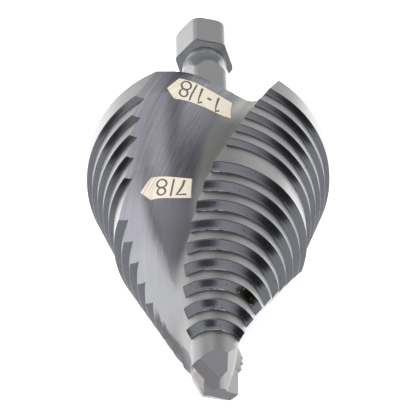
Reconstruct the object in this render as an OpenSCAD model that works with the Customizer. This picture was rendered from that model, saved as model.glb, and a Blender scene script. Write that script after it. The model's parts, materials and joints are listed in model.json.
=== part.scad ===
// Step drill with two spiral flutes, a split point and a hexagonal quick-change shank.
// It is drawn upright on its own axis, tip at zero, then laid down the way it rests on a bench.

/* [Cutting steps] */
// diameter of the pilot below the first step
pilot_d = 6.35; // [4:0.05:10]
// diameter of the long middle land, seven eighths of an inch
middle_d = 22.225; // [16:0.025:30]
// diameter of the last land, one and one eighth inch
last_d = 28.575; // [20:0.025:40]
// number of steps from the pilot to the middle land
lower_steps = 9; // [4:1:12]
// number of steps from the middle land to the last one
upper_steps = 5; // [2:1:8]
// height of the first step's outer corner above the tip
first_step_z = 8.2; // [5:0.1:15]
// step height along the axis below the middle land
lower_pitch = 2.9; // [2:0.05:5]
// height of the middle land
middle_land = 4.7; // [2:0.1:8]
// step height along the axis above the middle land
upper_pitch = 2.6; // [2:0.05:5]
// height of the last land
last_land = 3.5; // [1:0.1:8]
// slope of the shoulders, measured from the axis
shoulder_angle = 46; // [30:1:60]

/* [Flutes] */
// half thickness of the core at the tip
core_tip = 1.25; // [0.5:0.05:3]
// distance from the axis to the flute wall at the back face
core_back = 10.1; // [5:0.1:13]
// flute twist per millimetre near the tip, in degrees
twist_rate = 2.613; // [1:0.01:5]
// how much that twist slackens per millimetre further up
twist_easing = 0.00975; // [0:0.00025:0.02]
// negative rake of the cutting face, in degrees
face_rake = 6; // [0:0.5:15]
// inner corner radius of the flute as a share of the local radius
corner_share = 0.1; // [0.03:0.01:0.25]
// where the flute wall bends towards the heel, as a share of the local radius
bend_share = 0.64; // [0.4:0.01:0.8]
// how much deeper the flute reaches just behind the pilot, as a share of the local radius
deep_share = 0.3; // [0:0.05:0.4]
// opening angle of the flute on the lower steps
open_lower = 73.5; // [50:0.5:85]
// opening angle of the flute on the upper steps
open_upper = 66; // [50:0.5:85]

/* [Point] */
// slope of the lips, measured from square to the axis
lip_slope = 31; // [20:0.5:40]
// clearance angle behind the lips
lip_relief = 9.5; // [5:0.5:20]
// distance from the axis to the edge of the notch that splits the point
notch_offset = 0.74; // [0.3:0.01:1.5]
// slope of that notch
notch_slope = 54.5; // [35:0.5:70]
// slope of the facet that thins the web ahead of each lip
web_slope = 44.2; // [30:0.1:60]

/* [Shank] */
// width across the flats
hex_af = 6.35; // [5:0.05:12]
// width across the rounded corners
hex_ac = 7.1; // [5.5:0.05:13]
// length behind the back face
shank_len = 32.0; // [20:0.1:60]
// length of the hexagon behind the groove
tang_len = 6.0; // [3:0.1:12]
// diameter at the bottom of the groove
groove_d = 5.4; // [4:0.05:8]
// length of the groove at its bottom
groove_floor = 1.6; // [0.5:0.1:4]
// slope of the groove's end below the tang, measured from the axis
groove_wall = 60; // [20:1:80]
// length of the groove's long run-out towards the body
groove_runout = 4.6; // [1:0.1:8]

/* [Resting position] */
// turn about the drill's own axis, in degrees
rest_turn = 1.04; // [-180:0.01:180]
// rise of the shank above level, in degrees
rest_tilt = 5.85; // [-90:0.01:90]
// where the tip comes to lie along Y, so that the part is centred over the origin
tip_y = -40.904; // [-60:0.001:0]
// height of the tip above the bench
tip_z = 7.847; // [0:0.001:20]

/* [Hidden] */
$fn = 96;
pilot_r = pilot_d / 2;
lower_rise = (middle_d - pilot_d) / 2 / lower_steps;
upper_rise = (last_d - middle_d) / 2 / upper_steps;
steps = lower_steps + upper_steps;
middle_z = first_step_z + (lower_steps - 1) * lower_pitch;
next_z = middle_z + middle_land;
last_z = next_z + (upper_steps - 1) * upper_pitch;
back_z = last_z + last_land;
end_z = back_z + shank_len;
point_azimuth = -138.6;

// outer radius and height of step number i, counted from the pilot
function step_r(i) = i <= lower_steps ? pilot_r + i * lower_rise
    : middle_d / 2 + (i - lower_steps) * upper_rise;
function step_z(i) = i <= lower_steps ? first_step_z + (i - 1) * lower_pitch
    : next_z + (i - lower_steps - 1) * upper_pitch;
function shoulder(i) = (step_r(i) - step_r(i - 1)) / tan(shoulder_angle);

// smooth radius that the flute section follows
function env(z) = z < middle_z ? middle_d / 2 - (middle_z - z) * lower_rise / lower_pitch
    : lookup(z, [[middle_z, middle_d / 2], [next_z, middle_d / 2 + upper_rise],
                 [last_z, last_d / 2], [last_z + 9, last_d / 2]]);
function core(z) = core_tip + (core_back - core_tip) * z / back_z;
function face_turn(z) = max(-145.6, -160.5 + twist_rate * z - twist_easing * z * z);
function ease(t) = let (s = min(1, max(0, t))) s * s * (3 - 2 * s);
function deepening(z) = deep_share / 2 * (1 + ease((z - 4) / 3.4)) * (1 - ease((z - 9) / 17));
function widening(z) = 0.06 * (1 - ease((z - 9) / 17)) + 0.09 * (1 - ease((z - 4) / 3.4));
function opening(z) = lookup(z, [[middle_z, open_lower], [next_z, open_upper + 2.2],
    [next_z + 5, open_upper], [last_z, open_upper], [back_z, open_upper - 6]]);
function bez(a, b, c, t) = (1 - t) * (1 - t) * a + 2 * t * (1 - t) * b + t * t * c;

// one flute section, the cutting face along x and the flute on its clockwise side
function section(z) = let (
    R = env(z), c = core(z), k = tan(face_rake), f = corner_share * R,
    inner = [c, -(R - c) * k],
    bend = R * [c / R - 0.075 * bend_share - deepening(z), -bend_share - widening(z)],
    heel = R * [cos(opening(z)), -sin(opening(z))],
    run = (heel - bend) / norm(heel - bend), wall = (inner - bend) / norm(inner - bend),
    g = 0.16 * R, far = heel + run * (1.3 * R + 2), out = 2.5 * R + 5,
    face = [1.4 * R + 2, (0.4 * R + 2) * k])
    concat([face, inner + [f, f * k]],
        [for (t = [0.33, 0.67]) bez(inner + [f, f * k], inner, inner - wall * f, t)],
        [inner - wall * f],
        [for (t = [0 : 0.25 : 1]) bez(bend + wall * g, bend, bend + run * g, t)],
        [heel, far, [out, far[1]], [out, face[1]]]);

module flute() {
    low = -1.5;
    count = 42;
    dz = (back_z + 1 - low) / count;
    n = len(section(0));
    points = [for (i = [0 : count]) let (z = low + i * dz, a = face_turn(z))
        for (p = section(z)) [p[0] * cos(a) - p[1] * sin(a), p[0] * sin(a) + p[1] * cos(a), z]];
    sides = [for (i = [0 : count - 1]) for (j = [0 : n - 1]) let (m = (j + 1) % n)
        each [[i * n + j, (i + 1) * n + m, i * n + m], [i * n + j, (i + 1) * n + j, (i + 1) * n + m]]];
    polyhedron(points, concat(sides, [[for (j = [0 : n - 1]) j]],
        [[for (j = [0 : n - 1]) count * n + n - 1 - j]]));
}

// stepped body before fluting
module blank() {
    rotate_extrude() polygon(concat([[0, -1], [pilot_r, -1]],
        [for (i = [1 : steps]) each [[step_r(i - 1), step_z(i) - shoulder(i)], [step_r(i), step_z(i)]]],
        [[last_d / 2, back_z - 0.2], [last_d / 2 - 0.2, back_z], [0, back_z]]));
}

// everything below a tilted plane through the given height on the axis
module below(height, slope, azimuth) {
    translate([0, 0, height]) rotate([0, 0, azimuth]) rotate([0, -slope, 0])
        translate([-30, -30, -60]) cube([60, 60, 60]);
}

module point_cuts() {
    slope = atan(sqrt(pow(tan(lip_slope), 2) + pow(tan(lip_relief), 2)));
    lead = atan2(tan(lip_relief), tan(lip_slope));
    for (half = [0, 180]) {
        below(0, slope, point_azimuth + lead + half);
        below(-notch_offset * tan(notch_slope) - 0.26, notch_slope, point_azimuth + 60 + half);
        below(-0.374, web_slope, point_azimuth + 125.2 + half);
    }
}

module shank() {
    c = hex_ac / 2;
    g = groove_d / 2;
    floor_z = end_z - tang_len - (c - g) / tan(groove_wall);
    intersection() {
        rotate([0, 0, 11.8]) translate([0, 0, back_z - 2])
            cylinder(d = hex_af / cos(30), h = shank_len + 2, $fn = 6);
        rotate_extrude() polygon([[0, back_z - 2], [c, back_z - 2],
            [c, floor_z - groove_floor - groove_runout],
            [g + (c - g) * 0.55, floor_z - groove_floor - groove_runout * 0.62],
            [g + (c - g) * 0.2, floor_z - groove_floor - groove_runout * 0.28],
            [g, floor_z - groove_floor], [g, floor_z], [c, end_z - tang_len],
            [c, end_z - 0.35], [c - 0.2, end_z], [0, end_z]]);
    }
}

module step_drill() {
    // a resize that changes nothing keeps the ground surfaces and the lands in one closed mesh
    color([0.42, 0.43, 0.45])
    translate([0, tip_y, tip_z]) rotate([rest_tilt - 90, 0, 0]) rotate([0, 0, rest_turn])
    resize([0, 0, 0]) union() {
        difference() {
            blank();
            flute();
            rotate([0, 0, 180]) flute();
            point_cuts();
        }
        shank();
    }
}

step_drill();
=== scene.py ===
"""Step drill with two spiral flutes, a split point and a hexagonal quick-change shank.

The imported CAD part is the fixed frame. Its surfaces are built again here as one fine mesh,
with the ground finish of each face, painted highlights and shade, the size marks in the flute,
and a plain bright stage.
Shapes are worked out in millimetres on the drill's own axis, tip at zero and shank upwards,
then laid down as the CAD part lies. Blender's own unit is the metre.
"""

import json
import math

import bmesh
import bpy
import numpy as np
from mathutils import Matrix, Vector


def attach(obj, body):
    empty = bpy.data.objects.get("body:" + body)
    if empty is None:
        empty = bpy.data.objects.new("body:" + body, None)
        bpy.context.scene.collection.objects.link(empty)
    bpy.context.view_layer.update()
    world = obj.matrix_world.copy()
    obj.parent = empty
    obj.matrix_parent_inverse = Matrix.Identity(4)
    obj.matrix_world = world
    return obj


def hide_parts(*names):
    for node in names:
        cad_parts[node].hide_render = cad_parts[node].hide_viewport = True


bl_info = {
    "name": "Step drill",
    "version": (1, 0, 0),
    "blender": (4, 5, 0),
    "location": "View3D > Sidebar > Step drill",
    "description": "Builds a fluted step drill with its finish and size marks around the CAD frame",
    "category": "Add Mesh",
}

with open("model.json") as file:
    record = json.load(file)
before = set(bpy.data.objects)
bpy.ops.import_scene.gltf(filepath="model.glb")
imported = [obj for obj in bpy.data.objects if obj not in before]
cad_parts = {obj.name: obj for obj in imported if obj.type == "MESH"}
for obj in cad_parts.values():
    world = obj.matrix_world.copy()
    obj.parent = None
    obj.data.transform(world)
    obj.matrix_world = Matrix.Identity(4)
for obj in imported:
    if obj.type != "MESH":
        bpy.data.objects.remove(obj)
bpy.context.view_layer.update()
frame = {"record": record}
MOUNTS = {mount["name"]: mount for mount in frame["record"]["mounts"]}

MM = 0.001
# UV maps: the skin in millimetres across and along the grain, and the place on the kind of face
SKIN, PLACE = "Skin", "Place"


# Properties


def number(name, description, default, **kind):
    return bpy.props.FloatProperty(name=name, description=description, default=default, **kind)


def length(name, description, millimetres):
    """A length property, kept in metres as Blender keeps lengths."""
    return number(name, description, millimetres * MM, unit="LENGTH", precision=5)


def angle(name, description, degrees):
    return number(name, description, math.radians(degrees), subtype="ANGLE")


def colour(name, description, rgb):
    return bpy.props.FloatVectorProperty(
        name=name, description=description, default=rgb, subtype="COLOR", size=3, min=0.0, max=1.0
    )


class StepDrillSizes(bpy.types.PropertyGroup):
    """Driving sizes, the same as in the part's source."""

    pilot_d: length("Pilot diameter", "Below the first step", 6.35)
    middle_d: length("Middle land diameter", "Seven eighths of an inch", 22.225)
    last_d: length("Last land diameter", "One and one eighth inch", 28.575)
    first_step_z: length("First step", "Height of the first corner above the tip", 8.2)
    lower_pitch: length("Lower pitch", "Step height below the middle land", 2.9)
    middle_land: length("Middle land", "Height of the middle land", 4.7)
    upper_pitch: length("Upper pitch", "Step height above the middle land", 2.6)
    last_land: length("Last land", "Height of the last land", 3.5)
    core_tip: length("Core at the tip", "Axis to flute wall at the tip", 1.25)
    core_back: length("Core at the back", "Axis to flute wall at the back face", 10.1)
    hex_af: length("Across flats", "Width of the hexagon across its flats", 6.35)
    hex_ac: length("Across corners", "Width across the rounded corners", 7.1)
    shank_len: length("Shank length", "Length behind the back face", 32.0)
    lower_steps: bpy.props.IntProperty(
        name="Lower steps", description="From the pilot to the middle land", default=9
    )
    upper_steps: bpy.props.IntProperty(
        name="Upper steps", description="From the middle land to the last", default=5
    )
    shoulder_angle: angle("Shoulder angle", "Slope of the shoulders, from the axis", 46)
    rest_turn: angle("Resting turn", "Turn about the drill's own axis as it lies", 1.04)


class StepDrillFinish(bpy.types.PropertyGroup):
    """Colours of the steel's faces and of the size marks."""

    land: colour("Lands", "Ground lands and edges", (0.41, 0.41, 0.414))
    # the shoulders' darkness is mostly painted shade, standing in for the dark surround they reflect
    shoulder: colour("Shoulders", "Darker form-ground shoulders", (0.085, 0.088, 0.098))
    flute: colour("Flutes", "Brushed flute walls", (0.343, 0.341, 0.384))
    # the point's facets are one ground steel; their differing darkness is painted shade for how each one
    # catches the light
    relief: colour("Lip reliefs", "Facets behind the two lips", (0.096, 0.091, 0.097))
    notch: colour("Notches", "Facets that split the point", (0.143, 0.142, 0.157))
    web: colour("Web facets", "Facets that thin the web", (0.21, 0.209, 0.21))
    rake: colour("Cutting faces", "Smooth band along each cutting edge", (0.35, 0.353, 0.34))
    shank: colour("Shank", "Hexagonal shank", (0.455, 0.458, 0.463))
    # the groove's darker, bluer colour is painted shade in the recess
    groove: colour("Groove", "Detent groove of the shank", (0.35, 0.36, 0.385))
    mark: colour("Mark field", "Cream field of a size mark", (0.50, 0.45, 0.38))
    border: colour("Mark border", "Tan edge of a size mark", (0.22, 0.16, 0.12))
    ink: colour("Mark figures", "Dark figures of a size mark", (0.075, 0.068, 0.066))


class StepDrillStage(bpy.types.PropertyGroup):
    """Floor, light and camera."""

    floor: colour("Floor", "Plain pale floor", (0.88, 0.88, 0.88))
    floor_size: length("Floor size", "Side of the square floor", 6000)
    table_light: number("Table light", "Brightness of the white table, lit from below", 0.5)
    key_power: number("Key light", "Power of the overhead softbox", 7.0, unit="POWER")
    side_power: number("Side lights", "Power of each softbox round the floor", 9.0, unit="POWER")
    surround: number("Surround", "Brightness of the tent between its cards", 1.0)
    lens: number("Lens", "Focal length in millimetres, on a 36 mm sensor", 432.7)
    distance: length("Camera distance", "From the aim point to the camera", 580)
    azimuth: angle("Azimuth", "Camera's turn round the part", -0.351)
    elevation: angle("Elevation", "Camera above the horizon", 23.732)
    roll: angle("Roll", "Camera's roll about its view", -1.237)
    aim: bpy.props.FloatVectorProperty(
        name="Aim",
        description="Point that the camera looks at",
        default=(-0.00015, -0.00288, 0.0128),
        subtype="TRANSLATION",
    )


# The drill's form


def unit(v):
    return v / np.linalg.norm(v)


def line(a, b, count):
    t = np.linspace(0, 1, count + 1)[:, None]
    return a + (b - a) * t


def bend_line(a, corner, b, count):
    """Points on the smooth curve from a to b that the corner draws."""
    t = np.linspace(0, 1, count + 1)[:, None]
    return (1 - t) ** 2 * a + 2 * t * (1 - t) * corner + t * t * b


def ease(value, start, span):
    """Rises smoothly from 0 to 1 over a span."""
    t = min(1.0, max(0.0, (value - start) / span))
    return t * t * (3 - 2 * t)


def reach(point, direction, radius):
    """Where a ray in the section's plane meets a circle about the axis."""
    along = point @ direction
    return point + direction * (-along + math.sqrt(along**2 - point @ point + radius**2))


class Form:
    """The drill's shape in millimetres, tip at zero, shank towards +Z."""

    # the flute's section, in shares of the local radius
    RAKE = math.tan(math.radians(6))  # negative rake of the cutting face
    CORNER = 0.10  # radius of the inner corner
    BEND, BEND_ROUND = 0.64, 0.16  # where the wall bends towards the heel, and how gently
    BEND_LEAN = 0.075  # how far the wall leans in on its way to the bend
    DEEP = 0.3  # how much deeper the flute reaches just behind the pilot
    WIDE_STEPS, WIDE_PILOT = 0.06, 0.09  # how much wider it is on the first steps and the pilot
    # where that depth and width change: start and span in millimetres
    PILOT_BLEND, STEPS_BLEND = (4, 3.4), (9, 17)

    # opening in degrees: below and above the middle land, what it gains at the next step and
    # loses again over this many millimetres, and what it loses towards the back
    OPEN_LOWER, OPEN_UPPER = 73.5, 66.0
    OPEN_KNEE, KNEE_SPAN, CLOSING = 2.2, 5, 6
    # turn of the cutting edge in degrees: at the tip, per millimetre, its easing, and the limit
    TIP_TURN, TWIST, EASING, STRAIGHT = -160.5, 2.613, 0.00975, -145.6

    # the flute's mesh
    PATH_LONG, PATH_SHORT = 60, 24  # points on a straight and on a round part of its outline
    OVERSHOOT = 0.4  # how far the outline runs past the body
    STRIP_DEPTH, STRIP_MARGIN = 0.8, 0.15  # strip of even faces beside the stepped heel
    FLUTE_COUNTS = (9, 40, 8)  # faces on that strip, on the wall and on the cutting face
    BEND_DENSITY, CORNER_DENSITY, NO_DENSITY = 3.0, 5.0, 1e-6  # of faces, beside 1 elsewhere
    LAND_COUNT = 58

    # rows of the lands' and shoulders' mesh, in millimetres from a step's root and its corner
    PILOT_ROW, ROW = 0.3, 0.42
    PILOT_START, PILOT_STOP = -1.0, 2.2
    ROOT_START = 0.16
    ROOT_ROWS = ((-0.08, -0.012, "root"), (-0.02, -0.035, "lip"), (0.08, 0.035, "shoulder"))
    SHOULDER_START, SHOULDER_SHARES = 0.14, (0.4, 0.86, 0.93)
    CORNER_ROWS = (0.05, 0.12)
    RIM, RIM_RUN = 0.2, 90  # chamfer of the back face, and roughly the rim's length

    # the point's facets: slopes and turns in degrees, distances in millimetres
    POINT_TURN = -138.6
    LIP_SLOPE, LIP_RELIEF = 31, 9.5
    NOTCH_SLOPE, NOTCH_TURN, NOTCH_OFFSET, NOTCH_DROP = 54.5, 60, 0.74, 0.26
    WEB_SLOPE, WEB_TURN, WEB_DROP = 44.2, 125.2, 0.374

    # the shank
    HEX_TURN = 11.8  # degrees round the axis
    TANG = 6.0  # length of the hexagon behind the groove
    END_CHAMFER = (0.2, 0.35)  # off the radius, and along the axis
    GROOVE_R, GROOVE_WALL = 2.7, 60  # radius at its bottom, and slope of its wall in degrees
    RUNOUT = ((6.2, 1), (4.45, 0.55), (2.89, 0.2), (1.6, 0))  # below that wall; share of the depth
    SHANK_BURIED = 0.6  # how far it reaches into the body

    def __init__(self, s):
        self.pilot_r, self.middle_r, self.last_r = (d / 2 / MM for d in (s.pilot_d, s.middle_d, s.last_d))
        self.lower_steps, self.upper_steps = s.lower_steps, s.upper_steps
        self.steps = s.lower_steps + s.upper_steps
        self.first_z, self.lower_pitch, self.upper_pitch = (
            v / MM for v in (s.first_step_z, s.lower_pitch, s.upper_pitch)
        )
        self.core_tip, self.core_back = s.core_tip / MM, s.core_back / MM
        self.slope = math.tan(s.shoulder_angle)
        self.lower_rise = (self.middle_r - self.pilot_r) / self.lower_steps
        self.upper_rise = (self.last_r - self.middle_r) / self.upper_steps
        self.middle_z = self.first_z + (self.lower_steps - 1) * self.lower_pitch
        self.next_z = self.middle_z + s.middle_land / MM
        self.last_z = self.next_z + (self.upper_steps - 1) * self.upper_pitch
        self.back_z = self.last_z + s.last_land / MM
        self.end_z = self.back_z + s.shank_len / MM
        self.tang_z = self.end_z - self.TANG
        self.apothem, self.hex_r = s.hex_af / 2 / MM, s.hex_ac / 2 / MM

    def step_r(self, i):
        if i <= self.lower_steps:
            return self.pilot_r + i * self.lower_rise
        return self.middle_r + (i - self.lower_steps) * self.upper_rise

    def step_z(self, i):
        if i <= self.lower_steps:
            return self.first_z + (i - 1) * self.lower_pitch
        return self.next_z + (i - self.lower_steps - 1) * self.upper_pitch

    def env(self, z):
        """Smooth radius that the flute follows."""
        if z < self.middle_z:
            return self.middle_r - (self.middle_z - z) * self.lower_rise / self.lower_pitch
        heights = [self.middle_z, self.next_z, self.last_z]
        return np.interp(z, heights, [self.middle_r, self.middle_r + self.upper_rise, self.last_r])

    def core(self, z):
        return self.core_tip + (self.core_back - self.core_tip) * z / self.back_z

    def turn(self, z):
        """Polar angle of the first cutting edge, in degrees."""
        return max(self.STRAIGHT, self.TIP_TURN + self.TWIST * z - self.EASING * z * z)

    def opening(self, z):
        upper = self.OPEN_UPPER
        heights = [self.middle_z, self.next_z, self.next_z + self.KNEE_SPAN, self.last_z, self.back_z]
        angles = [self.OPEN_LOWER, upper + self.OPEN_KNEE, upper, upper, upper - self.CLOSING]
        return np.interp(z, heights, angles)

    def growth(self, z):
        """How much deeper and wider the flute is, from the pilot up the first steps."""
        past_pilot, past_steps = ease(z, *self.PILOT_BLEND), ease(z, *self.STEPS_BLEND)
        deeper = self.DEEP / 2 * (1 + past_pilot) * (1 - past_steps)
        return deeper, self.WIDE_STEPS * (1 - past_steps) + self.WIDE_PILOT * (1 - past_pilot)

    def wall_path(self, z):
        """The flute's outline at one height as close points, from past the heel to past the
        cutting edge, which lies along local +X. Gives the points, their distance from the bend
        along the outline, and the distances at the ends of its parts."""
        outer, core = self.env(z), self.core(z)
        inner = np.array([core, -(outer - core) * self.RAKE])
        deeper, wider = self.growth(z)
        inward = core / outer - self.BEND_LEAN * self.BEND - deeper
        bend = outer * np.array([inward, -self.BEND - wider])
        opening = math.radians(self.opening(z))
        run = unit(outer * np.array([math.cos(opening), -math.sin(opening)]) - bend)
        wall = unit(inner - bend)
        face = unit(np.array([1, self.RAKE]))
        soft, fillet = self.BEND_ROUND * outer, self.CORNER * outer
        past = max(outer, self.pilot_r) + self.OVERSHOOT
        ends = (
            reach(bend, run, past), bend + run * soft, bend + wall * soft, inner - wall * fillet,
            inner + face * fillet, reach(np.array([outer, 0.0]), face, past),
        )
        parts = [
            line(ends[0], ends[1], self.PATH_LONG),
            bend_line(ends[1], bend, ends[2], self.PATH_SHORT),
            line(ends[2], ends[3], self.PATH_LONG),
            bend_line(ends[3], inner, ends[4], self.PATH_SHORT),
            line(ends[4], ends[5], self.PATH_LONG),
        ]
        points = np.vstack([parts[0]] + [part[1:] for part in parts[1:]])
        steps = np.linalg.norm(np.diff(points, axis=0), axis=1)
        across = np.concatenate([[0], np.cumsum(steps)])
        across -= across[self.PATH_LONG + self.PATH_SHORT // 2]
        joints = np.cumsum([len(part) - 1 for part in parts[:-1]])
        return points, across, across[joints]

    def crossings(self, path, radius):
        """Where the outline leaves a circle about the axis, towards the heel and the edge."""
        points, across, parts = path
        far = np.linalg.norm(points, axis=1) - radius
        middle = int(np.searchsorted(across, parts[2]))
        low = middle - int(np.argmax(far[middle::-1] > 0))
        high = middle + int(np.argmax(far[middle:] > 0))
        ends = []
        for a, b in ((low, low + 1), (high - 1, high)):
            ends.append(across[a] + (across[b] - across[a]) * far[a] / (far[a] - far[b]))
        return ends

    def flute_row(self, z, radius):
        """Points of one row of the flute's mesh, from its heel to its cutting edge, and their
        distances from the bend. The faces are closer where the wall bends."""
        path = self.wall_path(z)
        points, across, parts = path
        heel, edge = self.crossings(path, radius)
        inside = max(self.env(z) - self.STRIP_DEPTH, self.pilot_r - self.STRIP_MARGIN)
        calm = self.crossings(path, inside)[0] + self.STRIP_MARGIN
        strip, wall, face = self.FLUTE_COUNTS
        middles = (across[1:] + across[:-1]) / 2
        density = np.ones(len(middles))
        for low, high, close in ((*parts[:2], self.BEND_DENSITY), (*parts[2:], self.CORNER_DENSITY)):
            density[(middles > low) & (middles < high)] = close
        density[(middles <= calm) | (middles >= parts[3])] = self.NO_DENSITY
        filled = np.concatenate([[0], np.cumsum(density * np.diff(across))])
        nodes = np.interp(np.linspace(0, filled[-1], wall + 1), filled, across)
        nodes[0], nodes[-1] = calm, parts[3]
        beside_heel = np.linspace(heel, calm, strip + 1)
        beside_edge = np.linspace(parts[3], edge, face + 1)
        nodes = np.concatenate([beside_heel, nodes[1:], beside_edge[1:]])
        return np.stack([np.interp(nodes, across, points[:, k]) for k in (0, 1)], 1), nodes

    def placed(self, points, z, half):
        """Section points turned to their height on the first (0) or second (1) side."""
        turned = math.radians(self.turn(z) + 180 * half)
        c, s = math.cos(turned), math.sin(turned)
        x, y = points[:, 0], points[:, 1]
        return np.stack([x * c - y * s, x * s + y * c, np.full(len(points), z)], 1)

    def land_rows(self, start, end, radius):
        """Even rows of a land, above the start."""
        count = max(1, round((end - start) / self.ROW))
        return [(z, radius, "land") for z in np.linspace(start, end, count + 1)[1:]]

    def profile(self):
        """Rows of the stepped outline from below the tip to the back, as height, radius and the
        kind of face that begins there."""
        pilot = np.arange(self.PILOT_START, self.first_z - self.PILOT_STOP, self.PILOT_ROW)
        rows = [(z, self.pilot_r, "land") for z in pilot]
        for i in range(1, self.steps + 1):
            low, high, top = self.step_r(i - 1), self.step_r(i), self.step_z(i)
            root = top - (high - low) / self.slope
            rows += self.land_rows(rows[-1][0], root - self.ROOT_START, low)
            rows += [(root + rise, low + out, kind) for rise, out, kind in self.ROOT_ROWS]
            start = self.SHOULDER_START
            rows.append((root + start, low + start * self.slope, "shoulder"))
            for t in self.SHOULDER_SHARES:
                rows.append((root + (top - root) * t, low + (high - low) * t, "shoulder"))
            rows += [(top + rise, high, "land") for rise in self.CORNER_ROWS]
        return rows + self.land_rows(rows[-1][0], self.back_z - self.RIM, self.last_r)

    def facets(self):
        """Planes that grind the point: kind, height on the axis, slope and azimuth."""
        lip, relief, notch = (
            math.tan(math.radians(a)) for a in (self.LIP_SLOPE, self.LIP_RELIEF, self.NOTCH_SLOPE)
        )
        steepest = math.degrees(math.atan(math.hypot(lip, relief)))
        lead = math.degrees(math.atan2(relief, lip))
        notch_height = -self.NOTCH_OFFSET * notch - self.NOTCH_DROP
        planes = (
            ("relief", 0, steepest, lead),
            ("notch", notch_height, self.NOTCH_SLOPE, self.NOTCH_TURN),
            ("web", -self.WEB_DROP, self.WEB_SLOPE, self.WEB_TURN),
        )
        return [
            (kind, height, slope, self.POINT_TURN + turn + half)
            for kind, height, slope, turn in planes
            for half in (0, 180)
        ]

    def shank_outline(self):
        """Turned outline of the shank, as heights and radii."""
        radius, depth = self.hex_r, self.hex_r - self.GROOVE_R
        chamfer, chamfer_length = self.END_CHAMFER
        foot = self.tang_z - depth / math.tan(math.radians(self.GROOVE_WALL))
        return [
            (self.back_z - self.SHANK_BURIED, radius),
            *((foot - below, self.GROOVE_R + depth * share) for below, share in self.RUNOUT),
            (foot, self.GROOVE_R), (self.tang_z, radius),
            (self.end_z - chamfer_length, radius), (self.end_z, radius - chamfer),
        ]


def resting_place(form, sizes):
    """Matrix from the drill's own millimetres to the row frame, from the shank's end mount."""
    axis = Vector(MOUNTS["shank_end"]["axis"]).normalized()
    tip = Vector(MOUNTS["shank_end"]["pos_m"]) - axis * form.end_z * MM
    lie = Matrix.Rotation(math.asin(axis.z) - math.pi / 2, 4, "X")
    turn = Matrix.Rotation(sizes.rest_turn, 4, "Z")
    return Matrix.Translation(tip) @ lie @ turn @ Matrix.Scale(MM, 4)


# Meshes


class Patches:
    """Grids of points that share their borders, gathered into one mesh."""

    def __init__(self):
        self.points, self.faces, self.kinds, self.skins, self.places = [], [], [], [], []

    def add_points(self, points):
        start = sum(len(p) for p in self.points)
        self.points.append(np.asarray(points, float))
        return np.arange(start, start + len(points))

    def at(self, index):
        return np.vstack(self.points)[index]

    def grid(self, index, kinds, skin, place):
        """Faces on a grid of point numbers. kinds has one name a row; skin and place have one
        pair a point."""
        rows, columns = index.shape
        for i in range(rows - 1):
            for j in range(columns - 1):
                corners = ((i, j), (i, j + 1), (i + 1, j + 1), (i + 1, j))
                self.faces.append([index[c] for c in corners])
                self.kinds.append(kinds[i])
                self.skins += [skin[c] for c in corners]
                self.places += [place[c] for c in corners]

    def cap(self, row, kind):
        """One flat face over a closed row of point numbers."""
        ends = self.at(row)
        self.faces.append([int(i) for i in row])
        self.kinds.append(kind)
        self.skins += [tuple(p[:2]) for p in ends]
        self.places += [tuple(p[:2]) for p in ends]

    def build(self, name, order):
        mesh = bpy.data.meshes.new(name)
        mesh.from_pydata(np.vstack(self.points).tolist(), [], self.faces)
        for layer, values in ((SKIN, self.skins), (PLACE, self.places)):
            uv = mesh.uv_layers.new(name=layer)
            uv.data.foreach_set("uv", np.asarray(values, np.float32).ravel())
        mesh.polygons.foreach_set("material_index", [order.index(k) for k in self.kinds])
        mesh.polygons.foreach_set("use_smooth", [True] * len(self.faces))
        return mesh


def link(name, data):
    """Adds an object with this mesh, light or camera to the scene."""
    thing = bpy.data.objects.new(name, data)
    bpy.context.scene.collection.objects.link(thing)
    return thing


def show(mesh, name, matrix, materials):
    """Links a mesh to the scene in the row frame, riding on the root body."""
    mesh.transform(matrix)
    mesh.update()
    for material in materials:
        mesh.materials.append(material)
    piece = link(name, mesh)
    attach(piece, "root")
    return piece


def show_steel(mesh, name, matrix, materials):
    """Shows a mesh that stands for the CAD part's own steel."""
    piece = show(mesh, name, matrix, materials)
    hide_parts("step_drill")


def mesh_of(bm, name):
    """Mesh of a finished bmesh, which is freed."""
    mesh = bpy.data.meshes.new(name)
    bm.to_mesh(mesh)
    bm.free()
    return mesh


def mark_sharp(mesh, chains):
    """Keeps the edges along these chains of points crisp."""
    pairs = {frozenset((int(a), int(b))) for chain in chains for a, b in zip(chain[:-1], chain[1:])}
    for edge in mesh.edges:
        if frozenset(edge.vertices) in pairs:
            edge.use_edge_sharp = True


BODY_FACES = ("land", "shoulder", "root", "lip", "flute", "relief", "notch", "web", "back")


def paired(first, second):
    """Rows of value pairs; the first or the second may be one number for the whole row."""
    return np.stack(np.broadcast_arrays(first, second), 1)


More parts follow.
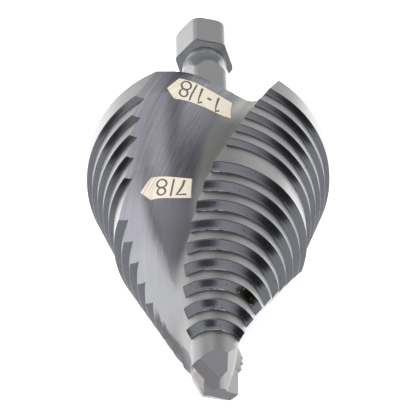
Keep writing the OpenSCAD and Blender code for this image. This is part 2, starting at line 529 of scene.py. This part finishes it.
def body_mesh(form):
    """Lands, shoulders, flutes and back face of the drill, before the point is ground."""
    rows = form.profile()
    patches = Patches()
    share = np.linspace(0, 1, form.LAND_COUNT + 1)
    lands, flutes = ([], []), ([], [])
    land_skin, land_place, flute_skin, flute_place = [], [], [], []
    run, below = 0.0, rows[0]
    for row in rows:
        z, radius, _ = row
        run += math.hypot(z - below[0], radius - below[1])
        below = row
        path, across = form.flute_row(z, radius)
        edge = math.degrees(math.atan2(path[-1, 1], path[-1, 0]))
        heel = 180 + math.degrees(math.atan2(path[0, 1], path[0, 0]))
        turned = np.radians(edge + (heel - edge) * share)
        arc = np.stack([np.cos(turned), np.sin(turned)], 1) * radius
        sides = []
        for half in (0, 1):
            land = patches.add_points(form.placed(arc, z, half))
            flute = patches.add_points(form.placed(path[1:-1], z, 1 - half))
            sides.append((land, flute))
        for half, (land, flute) in enumerate(sides):
            next_land = sides[1 - half][0]
            lands[half].append(land)
            flutes[half].append([land[-1], *flute, next_land[0]])
        land_skin.append(paired(run, radius * np.radians((heel - edge) * share)))
        land_place.append(paired(z, share))
        flute_skin.append(paired(across, z))
        flute_place.append(paired(z, across))
    kinds = [above[2] if row[2] == "land" else row[2] for row, above in zip(rows, rows[1:])]
    for half in (0, 1):
        patches.grid(np.array(lands[half]), kinds, np.array(land_skin), np.array(land_place))
        flute_kinds = ["flute"] * len(kinds)
        patches.grid(np.array(flutes[half]), flute_kinds, np.array(flute_skin), np.array(flute_place))
    low_ring, back_ring = (
        np.concatenate([part for half in (0, 1) for part in (lands[half][at], flutes[half][at][1:-1])])
        for at in (0, -1)
    )
    back_face = ease_rim(patches, back_ring, form)
    patches.cap(back_face, "back")
    patches.cap(low_ring[::-1], "web")
    mesh = patches.build("fluted_body", BODY_FACES)
    borders = [np.array(land)[:, end] for land in lands for end in (0, -1)]
    mark_sharp(mesh, borders + [np.append(ring, ring[0]) for ring in (back_ring, back_face)])
    return mesh


def ease_rim(patches, ring, form):
    """Chamfers every edge of the back face by the same small width."""
    points = patches.at(ring)
    along = np.roll(points, -1, 0) - np.roll(points, 1, 0)
    inward = np.stack([-along[:, 1], along[:, 0], np.zeros(len(ring))], 1)
    inward /= np.linalg.norm(inward, axis=1)[:, None]
    eased = points + inward * form.RIM
    eased[:, 2] = form.back_z
    back_face = patches.add_points(eased)
    closed = np.append(np.arange(len(ring)), 0)
    measure = np.zeros((2, len(closed), 2))
    measure[1, :, 0] = form.RIM
    measure[:, :, 1] = np.linspace(0, form.RIM_RUN, len(closed))
    patches.grid(np.stack([ring[closed], back_face[closed]]), ["back"], measure, measure)
    return back_face


def grind_facet(mesh, kind, height, slope, azimuth):
    """Cuts away what lies below a tilted plane and closes the cut with a flat facet."""
    tilt, way = math.radians(slope), math.radians(azimuth)
    level = -math.sin(tilt)
    normal = Vector((level * math.cos(way), level * math.sin(way), math.cos(tilt)))
    bm = bmesh.new()
    bm.from_mesh(mesh)
    cut = bmesh.ops.bisect_plane(
        bm, geom=bm.verts[:] + bm.edges[:] + bm.faces[:], dist=1e-5,
        plane_co=Vector((0, 0, height)), plane_no=normal, clear_inner=True,
    )
    edges = [g for g in cut["geom_cut"] if isinstance(g, bmesh.types.BMEdge)]
    filled = bmesh.ops.triangle_fill(bm, edges=edges, use_beauty=True)
    side = normal.cross(Vector((0, 0, 1))).normalized()
    down = normal.cross(side)
    for face in (g for g in filled["geom"] if isinstance(g, bmesh.types.BMFace)):
        face.material_index = BODY_FACES.index(kind)
        face.smooth = False
        if face.normal.dot(normal) > 0:
            face.normal_flip()
        for loop in face.loops:
            where = (loop.vert.co.dot(side), loop.vert.co.dot(down))
            for layer in (SKIN, PLACE):
                loop[bm.loops.layers.uv[layer]].uv = where
    for edge in edges:
        if edge.is_valid:
            edge.smooth = False
    bm.to_mesh(mesh)
    bm.free()


def soft_least(a, b, soft):
    """The smaller of two radii, rounded where they meet, and a hair more to keep their width."""
    return -soft * np.log(np.exp(-a / soft) + np.exp(-b / soft)) + soft * 0.1


def shank_mesh(form):
    """Hexagon with a detent groove, turned on its axis and eased at its end."""
    columns, corner_soft, mean_r = 288, 0.03, 3.3
    outline = form.shank_outline()
    start, runout, _, _, bottom, foot, tang, chamfer, end = (z for z, _ in outline)
    stretches = (
        (start, runout, 40), (runout, bottom, 46), (bottom, foot, 12), (foot, tang, 14),
        (tang, chamfer, 16), (chamfer, end, 6),
    )
    heights = np.unique(np.concatenate([np.linspace(*stretch) for stretch in stretches]))
    turned = np.interp(heights, *zip(*outline))
    around = np.linspace(0, 2 * math.pi, columns + 1)
    from_corner = (around - math.radians(form.HEX_TURN)) % (math.pi / 3)
    flat = form.apothem / np.cos(from_corner - math.pi / 6)
    patches = Patches()
    index, skin, place = [], [], []
    for z, radius in zip(heights, turned):
        r = soft_least(flat, radius, corner_soft)
        points = np.stack([r * np.cos(around), r * np.sin(around), np.full_like(r, z)], 1)
        numbers = patches.add_points(points[:-1])
        index.append(np.append(numbers, numbers[0]))
        skin.append(paired(z, mean_r * around))
        place.append(paired(z, around))
    patches.grid(np.array(index), ["shank"] * (len(index) - 1), np.array(skin), np.array(place))
    patches.cap(index[-1][:-1], "shank")
    patches.cap(index[0][:-1][::-1], "shank")
    mesh = patches.build("hex_shank", ("shank",))
    mark_sharp(mesh, [index[-1]])
    return mesh


# Size marks


def wall_point(form, across, z, lift):
    """A point on the first flute's wall at a distance from its bend, lifted off it by a hair."""

    def at(u, h):
        path, run, _ = form.wall_path(h)
        flat = np.array([[np.interp(u, run, path[:, 0]), np.interp(u, run, path[:, 1])]])
        return form.placed(flat, h, 0)[0]

    near = 0.25
    side = at(across + near, z) - at(across - near, z)
    up = at(across, z + near) - at(across, z - near)
    return at(across, z) + unit(np.cross(side, up)) * lift


def laid_on_wall(form, outline, lift, grain):
    """Bmesh of a flat outline in (across, height), cut finely and laid on the flute's wall."""
    bm = bmesh.new()
    bm.faces.new([bm.verts.new((u, z, 0)) for u, z in outline])
    low, high = np.min(outline, 0), np.max(outline, 0)
    for axis in (0, 1):
        for at in np.arange(low[axis] + grain, high[axis], grain):
            where, normal = Vector((0, 0, 0)), Vector((0, 0, 0))
            where[axis], normal[axis] = at, 1
            everything = bm.verts[:] + bm.edges[:] + bm.faces[:]
            bmesh.ops.bisect_plane(bm, geom=everything, plane_co=where, plane_no=normal)
    uv = bm.loops.layers.uv.new(SKIN)
    for face in bm.faces:
        face.smooth = True
        for loop in face.loops:
            loop[uv].uv = loop.vert.co.xy
    for vert in bm.verts:
        vert.co = Vector(wall_point(form, vert.co.x, vert.co.y, lift))
    return bm


def stroke(points, width):
    """Outline of a drawn line with square ends, as quads between its points."""
    points = np.asarray(points, float)
    step = np.diff(points, axis=0)
    step /= np.linalg.norm(step, axis=1)[:, None]
    way = np.vstack([step[:1], step[:-1] + step[1:], step[-1:]])
    way /= np.linalg.norm(way, axis=1)[:, None]
    side = np.stack([-way[:, 1], way[:, 0]], 1) * width / 2
    left, right = points + side, points - side
    return [[left[i], left[i + 1], right[i + 1], right[i]] for i in range(len(points) - 1)]


def oval(centre, radii, count=28):
    """Points once round an oval, back to the first one."""
    t = np.linspace(0, 2 * math.pi, count + 1)
    return [(centre[0] + radii[0] * math.cos(a), centre[1] + radii[1] * math.sin(a)) for a in t]


STROKE = 0.22  # width of the figures' lines in millimetres, unless they are bold
BOLD = {"1": 0.30, "-": 0.32, "7": 0.28}

# Figures in a box one unit high, upright, as lines of points. x runs to the reader's right.
FIGURES = {
    "1": [[(0.05, 0.80), (0.24, 0.98), (0.24, 0.0)]],
    "7": [[(0.0, 0.97), (0.50, 0.97), (0.34, 0.72), (0.20, 0.40), (0.12, 0.0)]],
    "8": [oval((0.27, 0.745), (0.20, 0.225)), oval((0.27, 0.26), (0.24, 0.25))],
    "/": [[(0.0, -0.04), (0.13, 1.06)]],
    "-": [[(0.0, 0.40), (0.22, 0.40)]],
}


# Materials


class Nodes:
    """Short hand for building a tree of shader nodes."""

    def __init__(self, tree):
        self.tree = tree

    def add(self, kind, sockets=None, **settings):
        node = self.tree.nodes.new("ShaderNode" + kind)
        for key, value in settings.items():
            setattr(node, key, value)
        for key, value in (sockets or {}).items():
            self.feed(node.inputs[key], value)
        return node

    def feed(self, socket, value):
        if isinstance(value, bpy.types.NodeSocket):
            self.tree.links.new(value, socket)
        else:
            socket.default_value = value

    def uv(self, layer):
        return self.add("UVMap", uv_map=layer).outputs[0]

    def place(self):
        """Where the surface lies in the row frame, in metres."""
        return self.add("TexCoord").outputs["Object"]

    def parts(self, vector):
        return self.add("SeparateXYZ", {0: vector}).outputs

    def math(self, operation, a, b=0.0, clamp=False):
        return self.add("Math", {0: a, 1: b}, operation=operation, use_clamp=clamp).outputs[0]

    def scaled(self, vector, scale):
        return self.add("VectorMath", {0: vector, 1: scale}, operation="MULTIPLY").outputs[0]

    def leaning(self, across, up, lean):
        """The skin with its grain leaning over by this much for each millimetre."""
        shifted = self.math("SUBTRACT", across, self.math("MULTIPLY", up, lean))
        return self.add("CombineXYZ", {0: shifted, 1: up}).outputs[0]

    def noise(self, vector, scale=1.0, detail=2.0, roughness=0.5, distortion=0.0):
        sockets = {"Vector": vector, "Scale": scale, "Detail": detail, "Roughness": roughness}
        return self.add("TexNoise", {**sockets, "Distortion": distortion}).outputs[0]

    def swing(self, value, amount):
        """A noise's departure from its middle, scaled."""
        return self.math("MULTIPLY", self.math("SUBTRACT", value, 0.5), amount)

    def spread(self, value, low, high, to_low=0.0, to_high=1.0, smooth=True):
        """Maps low..high to to_low..to_high, and holds the ends."""
        sockets = {0: value, 1: low, 2: high, 3: to_low, 4: to_high}
        kind = "SMOOTHSTEP" if smooth else "LINEAR"
        return self.add("MapRange", sockets, interpolation_type=kind).outputs[0]

    def all_of(self, *masks):
        whole = masks[0]
        for mask in masks[1:]:
            whole = self.math("MULTIPLY", whole, mask)
        return whole

    def mix(self, factor, a, b):
        node = self.add("Mix", data_type="RGBA")
        self.feed(node.inputs["Factor"], factor)
        for socket, value in ((node.inputs[6], a), (node.inputs[7], b)):
            self.feed(socket, value if isinstance(value, bpy.types.NodeSocket) else (*value[:3], 1.0))
        return node.outputs[2]


class Shader(Nodes):
    """A material, with the colour it has so far and the skin its grain follows."""

    def __init__(self, name, metallic=1.0):
        self.material = bpy.data.materials.new(name)
        self.material.use_nodes = True
        super().__init__(self.material.node_tree)
        self.surface = self.tree.nodes["Principled BSDF"]
        self.set(Metallic=metallic)

    def set(self, **sockets):
        for key, value in sockets.items():
            self.feed(self.surface.inputs[key.replace("_", " ")], value)

    def grain(self, across, along, **settings):
        """Noise with this many features a millimetre across and along the grain."""
        return self.noise(self.scaled(self.skin, (across, along, 1)), **settings)

    def tint(self, rgb, *masks):
        """Lays another colour over the surface where every mask is one. A mask is a socket, or
        what spread() takes."""
        masks = [self.spread(*mask) if isinstance(mask, tuple) else mask for mask in masks]
        self.colour = self.mix(self.all_of(*masks), self.colour, rgb)
        self.set(Base_Color=self.colour)


def shade(rgb, factor):
    return tuple(min(1.0, c * factor) for c in rgb)


def ground_steel(
    name, base, roughness=0.3, streak=0.25, fine=0.2, grain=9.0, broad=1.1, along=0.1, lean=0.0,
    mottle=0.25, blotch_scale=420, rough_swing=0.16, bump=0.25, contrast=0.28,
):
    """Steel ground in one direction: fine lines and broader streaks that run along the skin."""
    s = Shader(name)
    across, up, _ = s.parts(s.uv(SKIN))
    s.skin = s.leaning(across, up, lean)
    blotch = s.noise(s.place(), scale=blotch_scale, detail=3, roughness=0.6)
    lines = s.grain(grain, along * 3, detail=3, roughness=0.65)
    streaks = s.grain(broad, along * 0.45, detail=3, roughness=0.6, distortion=0.15)
    tone = s.math("ADD", s.swing(lines, fine * 2), 0.5)
    tone = s.math("ADD", tone, s.swing(streaks, streak * 4))
    tone = s.math("ADD", tone, s.swing(blotch, mottle), clamp=True)
    s.colour = s.mix(tone, shade(base, 1 - contrast), shade(base, 1 + contrast))
    s.roughness = s.math("ADD", s.swing(lines, rough_swing), roughness)
    relief = s.add("Bump", {"Strength": bump, "Distance": 0.00002, "Height": lines}).outputs[0]
    s.set(Base_Color=s.colour, Roughness=s.roughness, Normal=relief)
    return s


# Colours of single stretches and flaws, and of painted highlights and shade,
# besides the finishes that the panel offers
GLINTS, SHADOWS = (0.56, 0.55, 0.62), (0.19, 0.185, 0.22)
SILVER, PAINTED_SHADE_WEDGE = (0.31, 0.315, 0.32), (0.20, 0.197, 0.222)
NEAR_POINT, STAIN, DARK_TIP_STRIP = (0.245, 0.243, 0.247), (0.10, 0.097, 0.103), (0.14, 0.132, 0.134)
GULLET_WALL_SHADE, GULLET_FACE_HIGHLIGHT = (0.265, 0.262, 0.258), (0.43, 0.42, 0.41)
RIM_TICKS, PAINTED_LIP_HIGHLIGHT = (0.17, 0.17, 0.18), (0.34, 0.34, 0.325)
OIL, OIL_SPECKS = (0.026, 0.027, 0.018), (0.24, 0.24, 0.18)


def shoulder_steel(finish, spot):
    """Mottled slate of the shoulders, with painted shade near the heel of each upper step, and an oily
    spot.
    """
    s = ground_steel(
        "shoulder_steel", finish.shoulder, 0.19, streak=0.03, fine=0.16, along=2.0,
        mottle=0.5, blotch_scale=2600, rough_swing=0.08, bump=0.10, contrast=0.22,
    )
    height, share, _ = s.parts(s.uv(PLACE))
    # painted shade near the heel of the upper steps, standing for a dark reflection
    heel_painted_shade = shade(finish.shoulder, 0.48)
    s.tint(heel_painted_shade, (share, 0.72, 0.92), (height, 48.0, 41.0), (height, 33.0, 35.0))
    place = s.place()
    pits = s.noise(place, scale=2600, detail=1)
    s.tint(shade(finish.shoulder, 0.3), (pits, 0.68, 0.74, 0, 0.7))
    far = s.add("VectorMath", {0: place, 1: spot}, operation="DISTANCE").outputs["Value"]
    rags = s.noise(place, scale=1500, detail=4, roughness=0.7)
    s.tint(OIL, (s.math("ADD", far, s.swing(rags, 0.0034)), 0.00150, 0.00110))
    s.tint(OIL_SPECKS, (far, 0.0013, 0.0010), (s.noise(place, scale=2400, detail=0), 0.72, 0.77))
    return s


def lip_steel(finish):
    """The narrow lip over each root, with a painted highlight in broken lengths where it faces the front.
    """
    s = ground_steel("lip_steel", finish.shoulder, streak=0.2, fine=0.3, grain=8.0, along=1.6)
    place, middle = s.place(), 0.0002
    aside, _, height = s.parts(place)
    off = s.math("ABSOLUTE", s.math("SUBTRACT", aside, middle))
    lengths = s.noise(place, scale=1300, detail=2)
    # painted highlight in broken lengths along the lip where it faces the front
    s.tint(PAINTED_LIP_HIGHLIGHT, (off, 0.0019, 0.0008), (height, 0.009, 0.0095), (lengths, 0.36, 0.56, 0, 0.9))
    return s


def flute_steel(finish):
    """Brushed flute wall with leaning streaks, and the smoother cutting face beside the edge.
    Its tints, painted glints, highlights and shade among them, go by the height above the tip and
    the distance from the bend, in millimetres."""
    s = ground_steel(
        "flute_steel", finish.flute, 0.29, streak=0.10, fine=0.13, grain=5.0, broad=1.3,
        along=0.09, lean=0.19, mottle=0.15, bump=0.5,
    )
    height, across, _ = s.parts(s.uv(PLACE))
    # painted glints and painted shadow streaks along the grain
    s.tint(GLINTS, (s.grain(2.4, 0.07), 0.54, 0.70, 0, 0.35))
    s.tint(SHADOWS, (s.grain(2.0, 0.06), 0.42, 0.30, 0, 0.35))
    paint_shade_on_wall(s, finish, height, across)
    stain_and_painted_light_near_point(s, height, across)
    smooth_cutting_face(s, finish, height, across)
    # short dark ticks where the grain meets the back rim
    ticks = (s.grain(9.0, 0.9, detail=1), 0.42, 0.58, 0.2, 0.9)
    s.tint(RIM_TICKS, (height, 49.3, 49.45), (across, -1.4, -1.0), (across, 4.0, 2.0), ticks)
    return s


def paint_shade_on_wall(s, finish, height, across):
    """Silver near the point; painted shade in a band above and in a wedge narrowing down to the cutting
    face.
    """
    s.tint(SILVER, (height, 30.0, 20.0, 0, 0.8))
    # painted shade in a band above the silver, where the wall's reflection is too bright
    s.tint(shade(finish.flute, 0.72), (height, 35.5, 33.0), (height, 23.5, 28.0, 0, 0.5))
    # a wedge of painted shade, narrowing towards the cutting face
    wedge = s.math("SUBTRACT", across, s.spread(height, 19.0, 31.5, 2.35, -0.75, False))
    wedge = s.math("ADD", wedge, s.spread(height, 23.0, 20.0, 0, 0.6))
    wedge = s.math("ADD", wedge, s.swing(s.grain(1.5, 0.2), 0.6))
    s.tint(PAINTED_SHADE_WEDGE, (wedge, -0.2, 0.35), (height, 17.2, 19.6), (height, 36.0, 23.0, 0, 0.95))


def stain_and_painted_light_near_point(s, height, across):
    """Plainer near the point, stained towards the heel, a darker strip on the left by the tip,
    and on the right painted shade on the gullet's wall and a painted highlight on its cutting face.
    """
    s.tint(NEAR_POINT, (height, 17.0, 12.5, 0, 0.8))
    stain = s.math("ADD", across, s.swing(s.grain(2.0, 0.35, detail=3), 1.2))
    stain = s.math("SUBTRACT", stain, s.spread(height, 16.0, 9.0, -1.1, 0.6, False))
    s.tint(STAIN, (stain, 0.25, -0.25, 0, 0.95), (height, 18.5, 16.5))
    side = s.parts(s.place())[0]
    # darker strip on the left side near the tip
    s.tint(DARK_TIP_STRIP, (height, 4.6, 3.8), (side, -0.0008, -0.0012))
    # on the right: painted shade on the gullet's wall and a painted highlight on its cutting face
    gullet = s.all_of(s.spread(height, 7.0, 5.5), s.spread(side, 0.0006, 0.0012))
    s.tint(GULLET_WALL_SHADE, gullet)
    from_corner = s.math("SUBTRACT", across, s.math("MULTIPLY", height, 0.2))
    s.tint(GULLET_FACE_HIGHLIGHT, gullet, (from_corner, 1.15, 1.45))


def smooth_cutting_face(s, finish, height, across):
    """The cutting face is duller than the wall and carries no streaks. It has painted shade above
    mid-height and a painted highlight towards the back.
    """
    corner = s.spread(height, 19.5, 26.0, 2.1, 4.4, False)
    corner = s.math("ADD", corner, s.spread(height, 41.0, 50.0, 0, 2.0, False))
    past_corner = s.math("SUBTRACT", across, corner)
    face = s.all_of(s.spread(past_corner, -0.2, 1.3), s.spread(height, 6.0, 8.0))
    s.tint(finish.rake, face)
    # painted shade over the upper part of the face
    s.tint(shade(finish.rake, 0.72), face, (height, 32.0, 36.0, 0, 0.8))
    # painted highlight towards the back rim
    s.tint(shade(finish.rake, 1.75), face, (height, 43.5, 48.5))
    s.set(Roughness=s.add("Mix", {0: face, 2: s.roughness, 3: 0.56}).outputs[0])


def web_steel(finish, **facet):
    """Web facets: a painted highlight in the gullet on the right, painted shade next to the lip on the
    left.
    """
    s = ground_steel("web_steel", finish.web, 0.36, streak=0.35, **facet)
    side = s.parts(s.place())[0]
    # painted highlight on the right, in the gullet
    s.tint(shade(finish.web, 1.35), (side, 0.0006, 0.0012))
    # painted shade in a strip next to the lip on the left
    s.tint(shade(finish.web, 0.5), (side, -0.00133, -0.00123), (side, 0.0006, 0.0004))
    return s


def body_materials(finish, spot):
    """One material for each kind of face on the body, in the order of BODY_FACES."""
    facet = {"fine": 0.15, "grain": 8.0, "broad": 2.0, "along": 0.2}
    steels = {
        "land": ground_steel(
            "land_steel", finish.land, 0.34, streak=0.06, fine=0.10, grain=7.0, broad=0.8, along=0.03
        ),
        "shoulder": shoulder_steel(finish, spot),
        "root": ground_steel(
            "root_steel", shade(finish.shoulder, 0.9), 0.36, streak=0.5, fine=0.5, grain=8.0,
            broad=0.6, along=1.6, contrast=0.75,
        ),
        "lip": lip_steel(finish),
        "flute": flute_steel(finish),
        "relief": ground_steel("relief_steel", finish.relief, 0.36, streak=0.05, **facet),
        "notch": ground_steel("notch_steel", finish.notch, 0.36, streak=0.05, **facet),
        "web": web_steel(finish, **facet),
        "back": ground_steel(
            "back_steel", finish.land, 0.38, streak=0.08, fine=0.15, grain=6.0, along=0.3
        ),
    }
    return [steels[kind].material for kind in BODY_FACES]


def shank_steel(form, finish):
    """Smooth steel of the hexagon, with painted shade in its groove, bluer there, and a painted shadow on
    the groove's steeper wall.
    """
    s = ground_steel(
        "shank_steel", finish.shank, 0.34, streak=0.05, fine=0.06, grain=5.0, mottle=0.15
    )
    height, top = s.parts(s.skin)[0], form.tang_z
    # painted shade in the groove
    s.tint(finish.groove, (height, top - 5.4, top - 2.4), (height, top + 0.02, top - 0.1))
    # painted shadow on the groove's steeper wall
    groove_wall_shadow = shade(finish.groove, 0.28)
    s.tint(groove_wall_shadow, (height, top - 0.6, top - 0.45), (height, top + 0.04, top))
    return s.material


def plain_shader(name, rgb, roughness):
    """Printed colour, worn a little lighter and darker along the grain."""
    s = Shader(name, metallic=0.0)
    s.skin = s.uv(SKIN)
    wear = s.grain(3.2, 0.8, detail=4, roughness=0.65)
    s.colour = s.mix(wear, shade(rgb, 0.92), shade(rgb, 1.08))
    s.set(Base_Color=s.colour, Roughness=s.math("ADD", s.swing(wear, 0.1), roughness))
    return s


def field_material(finish):
    """Cream field of a mark, with tan scratches where it comes to a point."""
    s = plain_shader("mark_field", finish.mark, 0.42)
    across, up, _ = s.parts(s.skin)
    slant = s.scaled(s.leaning(across, up, 0.45), (4.5, 0.25, 1))
    scratches = s.noise(slant, detail=3, roughness=0.6)
    s.tint(shade(finish.mark, 0.55), (across, 1.2, -0.6), (scratches, 0.45, 0.62, 0, 0.75))
    return s.material


# Operators


def drill(context):
    """The drill's form, how it lies, and its finish, as the scene's properties give them."""
    sizes = context.scene.step_drill_sizes
    form = Form(sizes)
    return form, resting_place(form, sizes), context.scene.step_drill_finish


class STEPDRILL_OT_body(bpy.types.Operator):
    """Build the stepped and fluted body with its split point"""

    bl_idname = "stepdrill.body"
    bl_label = "Fluted body"

    # the oily spot: its step, degrees round the axis, and millimetres below the step's corner
    SPOT_STEP, SPOT_TURN, SPOT_DROP = 3, -45, 0.45

    def execute(self, context):
        form, lie, finish = drill(context)
        mesh = body_mesh(form)
        for facet in form.facets():
            grind_facet(mesh, *facet)
        turn = math.radians(self.SPOT_TURN)
        radius = form.step_r(self.SPOT_STEP) - form.lower_rise / 2
        height = form.step_z(self.SPOT_STEP) - self.SPOT_DROP
        spot = lie @ Vector((radius * math.cos(turn), radius * math.sin(turn), height))
        show_steel(mesh, "fluted_body", lie, body_materials(finish, spot))
        return {"FINISHED"}


class STEPDRILL_OT_shank(bpy.types.Operator):
    """Build the hexagonal shank with its detent groove"""

    bl_idname = "stepdrill.shank"
    bl_label = "Hexagonal shank"

    def execute(self, context):
        form, lie, finish = drill(context)
        show_steel(shank_mesh(form), "hex_shank", lie, [shank_steel(form, finish)])
        return {"FINISHED"}


class STEPDRILL_OT_marks(bpy.types.Operator):
    """Lay the two size marks on the flute's wall"""

    bl_idname = "stepdrill.marks"
    bl_label = "Size marks"

    # name; outline of the field as (distance from the flute's bend, height above the tip);
    # foot of the first figure; rise of the line of figures and their lean, both per millimetre;
    # height of a figure; figures with their place along the line
    MARKS = (
        (
            "mark_seven_eighths",
            ((-1.56, 32.9), (0.0, 31.25), (4.64, 30.9), (4.32, 33.95), (-0.45, 34.35)),
            (3.80, 33.72), 0.04, 0.11, 2.3,
            (("7", 0.0), ("/", 1.49), ("8", 2.25)),
        ),
        (
            "mark_one_and_one_eighth",
            ((-1.45, 47.1), (-0.1, 45.6), (3.6, 45.6), (5.9, 45.3), (7.0, 45.4), (6.3, 48.1),
             (3.85, 48.4), (1.75, 48.55), (-0.75, 48.7)),
            (5.3, 47.85), 0.12, 0.16, 2.42,
            (("1", 0.1), ("-", 1.47), ("1", 2.38), ("/", 3.75), ("8", 4.27)),
        ),
    )
    BORDER = 0.07  # width of the tan edge
    # how far each layer stands off the wall, and how finely the layers are cut
    BORDER_LIFT, FIELD_LIFT, INK_LIFT = 0.012, 0.022, 0.032
    FIELD_GRAIN, INK_GRAIN = 0.28, 0.5

    def execute(self, context):
        form, lie, finish = drill(context)
        field = field_material(finish)
        border = plain_shader("mark_border", finish.border, 0.5).material
        ink = plain_shader("mark_ink", finish.ink, 0.5).material
        layers = (
            ("_border", self.BORDER, self.BORDER_LIFT, border), ("_field", 0.0, self.FIELD_LIFT, field)
        )
        for name, outline, *lettering in self.MARKS:
            outline = np.array(outline)
            outward = np.sign(outline - outline.mean(0))
            for part, margin, lift, material in layers:
                bm = laid_on_wall(form, outline + margin * outward, lift, self.FIELD_GRAIN)
                show(mesh_of(bm, name + part), name + part, lie, [material])
            figures = self.figures(form, name + "_figures", *lettering)
            show(figures, name + "_figures", lie, [ink])
        return {"FINISHED"}

    def figures(self, form, name, start, rise, lean, height, figures):
        """Mesh of a line of figures. They read with the shank down, so both of their directions
        are turned round."""
        whole = bmesh.new()
        for figure, along in figures:
            for points in FIGURES[figure]:
                drawn = []
                for x, y in points:
                    ahead, above = along + x * height, y * height
                    drawn.append((start[0] - ahead + lean * above, start[1] + rise * ahead - above))
                for quad in stroke(drawn, BOLD.get(figure, STROKE)):
                    laid = mesh_of(laid_on_wall(form, quad, self.INK_LIFT, self.INK_GRAIN), "stroke")
                    whole.from_mesh(laid)
                    bpy.data.meshes.remove(laid)
        return mesh_of(whole, name)


class STEPDRILL_OT_stage(bpy.types.Operator):
    """Set up the floor, the soft light and the camera"""

    bl_idname = "stepdrill.stage"
    bl_label = "Stage"

    SOFTBOX_SIDE = 1.6
    # softboxes for the floor and the marks: name, place in metres, and the property with its power
    SOFTBOXES = (
        ("softbox_above", (0, -0.4, 1.5), "key_power"),
        ("softbox_left", (-0.9, -1.0, 1.1), "side_power"),
        ("softbox_right", (0.9, -1.0, 1.1), "side_power"),
    )
    # cards of the light tent, each laid over those before it:
    # direction (degrees from +Y towards +X, degrees up), full radius, outer radius, brightness
    CARDS = (
        (0, -5, 19, 38, 0.12),
        (-160, 30, 38, 75, 2.2),
        (-65, 18, 14, 46, 1.55),
        (-106, 6, 9, 22, 0.3),
        (107, 11, 14, 28, 0.1),
        (-168, 55, 8, 19, 0.3),
        (27, 56, 17, 28, 0.1),
        (-42, 54, 8, 25, 0.35),
        (64, 53, 5, 16, 0.8),
        (-63, 74, 12, 23, 0.9),
        (-36, 42, 7, 20, 0.3),
    )

    def execute(self, context):
        stage = context.scene.step_drill_stage
        self.floor(stage)
        self.light(stage)
        self.surround(context.scene, stage)
        self.camera(context.scene, stage)
        return {"FINISHED"}

    def floor(self, stage):
        """A pale square that is also lit from below."""
        half = stage.floor_size / 2
        mesh = bpy.data.meshes.new("floor")
        corners = [(-half, -half, 0), (half, -half, 0), (half, half, 0), (-half, half, 0)]
        mesh.from_pydata(corners, [], [(0, 1, 2, 3)])
        s = Shader("pale_floor", metallic=0.0)
        s.set(Base_Color=(*stage.floor, 1), Roughness=0.9, Specular_IOR_Level=0.1)
        s.set(Emission_Color=(1, 1, 1, 1), Emission_Strength=stage.table_light)
        mesh.materials.append(s.material)
        floor = link("floor", mesh)

    def light(self, stage):
        """Softboxes over the floor. The steel shows only the tent round it."""
        for name, place, power in self.SOFTBOXES:
            data = bpy.data.lights.new(name, "AREA")
            data.shape, data.size, data.size_y = "RECTANGLE", self.SOFTBOX_SIDE, self.SOFTBOX_SIDE
            data.energy = getattr(stage, power)
            softbox = link(name, data)
            facing = Vector(place).to_track_quat("Z", "Y").to_matrix().to_4x4()
            softbox.matrix_world = Matrix.Translation(place) @ facing
            softbox.visible_glossy = False

    def surround(self, scene, stage):
        """A small light tent with bright and dark cards, which the steel reflects."""
        world = bpy.data.worlds.new("surround")
        world.use_nodes = True
        tent = Nodes(world.node_tree)
        ways = tent.add("TexCoord").outputs["Generated"]
        tone = stage.surround
        for turn, rise, full, outer, bright in self.CARDS:
            a, e = math.radians(turn), math.radians(rise)
            way = (math.sin(a) * math.cos(e), math.cos(a) * math.cos(e), math.sin(e))
            near = tent.add("VectorMath", {0: ways, 1: way}, operation="DOT_PRODUCT").outputs["Value"]
            card = tent.spread(near, math.cos(math.radians(outer)), math.cos(math.radians(full)))
            tone = tent.add("Mix", {0: card, 2: tone, 3: bright}).outputs[0]
        tent.feed(tent.tree.nodes["Background"].inputs["Color"], tone)
        scene.world = world
        scene.view_settings.view_transform = "Standard"

    def camera(self, scene, stage):
        data = bpy.data.cameras.new("camera")
        data.lens, data.sensor_width = stage.lens, 36
        data.clip_start, data.clip_end = 0.01, 20
        camera = link("camera", data)
        turn = Matrix.Rotation(stage.azimuth, 4, "Z")
        turn = turn @ Matrix.Rotation(math.pi / 2 - stage.elevation, 4, "X")
        turn = turn @ Matrix.Rotation(stage.roll, 4, "Z")
        back = Matrix.Translation((0, 0, stage.distance))
        camera.matrix_world = Matrix.Translation(Vector(stage.aim)) @ turn @ back
        scene.camera = camera


class STEPDRILL_PT_panel(bpy.types.Panel):
    """Sizes, colours and build steps of the drill"""

    bl_idname = "STEPDRILL_PT_panel"
    bl_label = "Step drill"
    bl_space_type = "VIEW_3D"
    bl_region_type = "UI"
    bl_category = "Step drill"

    def draw(self, context):
        for name in GROUPS:
            group = getattr(context.scene, name)
            box = self.layout.box()
            for key in group.__annotations__:
                box.prop(group, key)
        for operator in OPERATORS:
            self.layout.operator(operator.bl_idname)


GROUPS = {
    "step_drill_sizes": StepDrillSizes,
    "step_drill_finish": StepDrillFinish,
    "step_drill_stage": StepDrillStage,
}
OPERATORS = (STEPDRILL_OT_body, STEPDRILL_OT_shank, STEPDRILL_OT_marks, STEPDRILL_OT_stage)


def register():
    for kind in (*GROUPS.values(), *OPERATORS, STEPDRILL_PT_panel):
        bpy.utils.register_class(kind)
    for name, kind in GROUPS.items():
        setattr(bpy.types.Scene, name, bpy.props.PointerProperty(type=kind))


def unregister():
    for name in GROUPS:
        delattr(bpy.types.Scene, name)
    for kind in (STEPDRILL_PT_panel, *reversed(OPERATORS), *GROUPS.values()):
        bpy.utils.unregister_class(kind)


def main():
    register()
    bpy.ops.stepdrill.body()
    bpy.ops.stepdrill.shank()
    bpy.ops.stepdrill.marks()
    bpy.ops.stepdrill.stage()
    bpy.context.view_layer.update()


if __name__ == "__main__":
    main()
